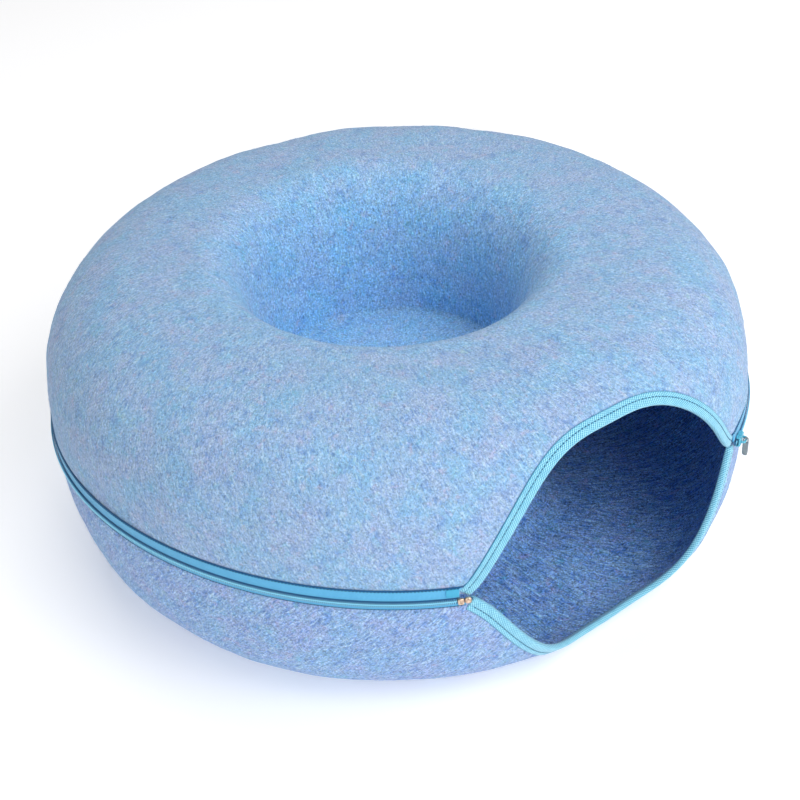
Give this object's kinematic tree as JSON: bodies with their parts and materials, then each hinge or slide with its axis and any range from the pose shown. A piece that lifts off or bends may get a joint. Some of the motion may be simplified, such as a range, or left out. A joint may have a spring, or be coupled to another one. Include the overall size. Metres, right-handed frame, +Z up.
{
  "type": "ring-shaped felt cat bed with a tunnel",
  "caption": "Hollow felt ring for a cat: two moulded halves zipped round the rim, a sleeping well in the middle and an arched doorway into the tunnel.",
  "frame": {"origin": "on the surface the bed stands on, below the middle of its bounding box", "axes": "+Z up; the doorway faces -Y; +X to the right of someone who looks out of the doorway from above with +Y behind"},
  "size_m": [0.6077, 0.5891, 0.2601],
  "materials": {
    "felt_upper": "thick moulded felt, mottled sky blue, matt",
    "felt_lower": "the same felt, a little more lilac",
    "binding_tape": "woven tape, light cyan, matt",
    "zip_tape": "woven zip tape, sky cyan, matt",
    "zip_tape_end": "the tape's own end, doubled, a stronger cyan",
    "zip_coil": "satin plastic coil, cyan",
    "stop_metal": "plain pinkish metal",
    "slider_paint": "painted cyan",
    "pull_metal": "painted light grey-blue"
  },
  "bodies": {
    "root": {"upper_shell": "felt_upper", "lower_shell": "felt_lower", "doorway_binding_upper": "binding_tape", "doorway_binding_lower": "binding_tape", "zip_tape_upper": "zip_tape", "zip_tape_lower": "zip_tape", "zip_chain": "zip_coil", "zip_tape_end": "zip_tape_end", "zip_stop_box": "stop_metal", "zip_stop_pin": "stop_metal", "slider_body": "slider_paint", "slider_pull": "pull_metal"}
  },
  "joints": []
}
